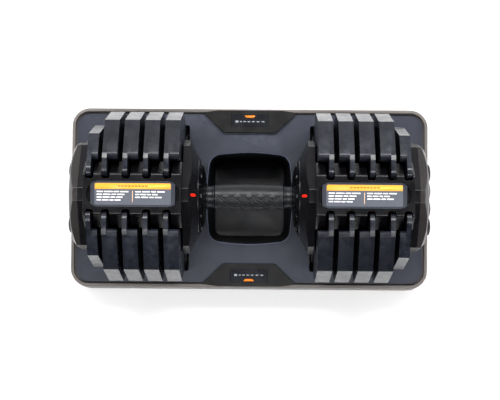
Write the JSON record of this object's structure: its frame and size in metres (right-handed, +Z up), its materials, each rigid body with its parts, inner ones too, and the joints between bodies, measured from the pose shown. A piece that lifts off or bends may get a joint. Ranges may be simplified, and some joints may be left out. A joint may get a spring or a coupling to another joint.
{
  "type": "adjustable dumbbell",
  "caption": "Twist-handle adjustable dumbbell docked in its tray: the handle turns selector discs that pick up steel plates, and the plates left out stay in the tray.",
  "frame": {"origin": "floor under the centre of the tray", "axes": "+X along the handle, +Y towards the back of the tray, +Z up"},
  "size_m": [0.514, 0.259, 0.2075],
  "materials": {
    "tray_shell_plastic": "fine moulded grain",
    "deck_plastic": "fine moulded grain, blue-grey",
    "black_plastic": "moulded",
    "badge_plastic": "fine moulded grain",
    "badge_plate_plastic": "smooth",
    "soft_rubber": "matte",
    "steel": "plain zinc plated",
    "red_plastic": "moulded",
    "bushing_plastic": "natural nylon",
    "grip_rubber": "moulded with raised diamonds",
    "collar_plastic": "satin",
    "dial_plastic": "satin",
    "housing_plastic": "satin moulded",
    "bridge_plastic": "satin moulded",
    "label_film": "printed film on a recessed panel",
    "orange_plastic": "moulded",
    "plate_iron": "fine satin powder coat"
  },
  "bodies": {
    "tray": {"tray_shell": "tray_shell_plastic", "tray_deck": "deck_plastic", "cradle_left": "black_plastic", "cradle_right": "black_plastic", "badge_panel_front": "badge_plastic", "badge_panel_back": "badge_plastic", "badge_plates": "badge_plate_plastic", "finger_grip_left": "soft_rubber", "finger_grip_right": "soft_rubber", "tray_feet": "soft_rubber", "tray_screws": "steel", "release_posts": "black_plastic"},
    "core": {"inner_housing_left": "housing_plastic", "inner_housing_right": "housing_plastic", "bridge_left": "bridge_plastic", "bridge_right": "bridge_plastic", "label_panel_left": "label_film", "label_panel_right": "label_film", "end_housing_left": "housing_plastic", "end_housing_right": "housing_plastic", "end_cover_left": "housing_plastic", "end_cover_right": "housing_plastic", "index_marks": "red_plastic", "housing_screws": "steel", "inner_bushings": "bushing_plastic", "end_bushings": "bushing_plastic", "lock_spring_left": "steel", "lock_spring_right": "steel"},
    "handle": {"grip": "grip_rubber", "grip_core": "black_plastic", "handle_shaft": "steel", "collar_left": "collar_plastic", "collar_right": "collar_plastic", "dial_left": "dial_plastic", "dial_right": "dial_plastic", "selector_disc_left_1": "orange_plastic", "selector_disc_left_2": "orange_plastic", "selector_disc_left_3": "orange_plastic", "selector_disc_left_4": "orange_plastic", "selector_disc_left_5": "orange_plastic", "selector_disc_right_1": "orange_plastic", "selector_disc_right_2": "orange_plastic", "selector_disc_right_3": "orange_plastic", "selector_disc_right_4": "orange_plastic", "selector_disc_right_5": "orange_plastic", "shaft_spacers": "steel", "shaft_nuts": "steel", "index_wheels": "steel"},
    "lock_left": {"lock_slider_left": "steel"},
    "lock_right": {"lock_slider_right": "steel"},
    "plate_left_1": {"plate_left_1": "plate_iron"},
    "plate_left_2": {"plate_left_2": "plate_iron"},
    "plate_left_3": {"plate_left_3": "plate_iron"},
    "plate_left_4": {"plate_left_4": "plate_iron"},
    "plate_left_5": {"plate_left_5": "plate_iron"},
    "plate_right_1": {"plate_right_1": "plate_iron"},
    "plate_right_2": {"plate_right_2": "plate_iron"},
    "plate_right_3": {"plate_right_3": "plate_iron"},
    "plate_right_4": {"plate_right_4": "plate_iron"},
    "plate_right_5": {"plate_right_5": "plate_iron"}
  },
  "joints": [
    {"name": "core_lift", "type": "slide", "parent": "tray", "child": "core", "axis": [0, 0, 1], "range_m": [0, 0.25]},
    {"name": "handle_twist", "type": "hinge", "parent": "core", "child": "handle", "pos_m": [0, 0, 0.108], "axis": [1, 0, 0], "range_deg": [-324, 0]},
    {"name": "lock_left_drop", "type": "slide", "parent": "core", "child": "lock_left", "axis": [0, 0, 1], "range_m": [-0.006, 0], "deforming": ["lock_spring_left"]},
    {"name": "lock_right_drop", "type": "slide", "parent": "core", "child": "lock_right", "axis": [0, 0, 1], "range_m": [-0.006, 0], "deforming": ["lock_spring_right"]},
    {"name": "plate_left_1_lift", "type": "slide", "parent": "tray", "child": "plate_left_1", "axis": [0, 0, 1], "range_m": [0, 0.25]},
    {"name": "plate_left_2_lift", "type": "slide", "parent": "tray", "child": "plate_left_2", "axis": [0, 0, 1], "range_m": [0, 0.25]},
    {"name": "plate_left_3_lift", "type": "slide", "parent": "tray", "child": "plate_left_3", "axis": [0, 0, 1], "range_m": [0, 0.25]},
    {"name": "plate_left_4_lift", "type": "slide", "parent": "tray", "child": "plate_left_4", "axis": [0, 0, 1], "range_m": [0, 0.25]},
    {"name": "plate_left_5_lift", "type": "slide", "parent": "tray", "child": "plate_left_5", "axis": [0, 0, 1], "range_m": [0, 0.25]},
    {"name": "plate_right_1_lift", "type": "slide", "parent": "tray", "child": "plate_right_1", "axis": [0, 0, 1], "range_m": [0, 0.25]},
    {"name": "plate_right_2_lift", "type": "slide", "parent": "tray", "child": "plate_right_2", "axis": [0, 0, 1], "range_m": [0, 0.25]},
    {"name": "plate_right_3_lift", "type": "slide", "parent": "tray", "child": "plate_right_3", "axis": [0, 0, 1], "range_m": [0, 0.25]},
    {"name": "plate_right_4_lift", "type": "slide", "parent": "tray", "child": "plate_right_4", "axis": [0, 0, 1], "range_m": [0, 0.25]},
    {"name": "plate_right_5_lift", "type": "slide", "parent": "tray", "child": "plate_right_5", "axis": [0, 0, 1], "range_m": [0, 0.25]}
  ],
  "couplings": [
    {"joint": "lock_left_drop", "follows": "core_lift", "ratio": -0.024},
    {"joint": "lock_right_drop", "follows": "core_lift", "ratio": -0.024},
    {"joint": "plate_left_1_lift", "follows": "core_lift", "ratio": 1},
    {"joint": "plate_left_2_lift", "follows": "core_lift", "ratio": 1},
    {"joint": "plate_left_3_lift", "follows": "core_lift", "ratio": 1},
    {"joint": "plate_left_4_lift", "follows": "core_lift", "ratio": 1},
    {"joint": "plate_left_5_lift", "follows": "core_lift", "ratio": 1},
    {"joint": "plate_right_1_lift", "follows": "core_lift", "ratio": 1},
    {"joint": "plate_right_2_lift", "follows": "core_lift", "ratio": 1},
    {"joint": "plate_right_3_lift", "follows": "core_lift", "ratio": 1},
    {"joint": "plate_right_4_lift", "follows": "core_lift", "ratio": 1},
    {"joint": "plate_right_5_lift", "follows": "core_lift", "ratio": 1}
  ]
}
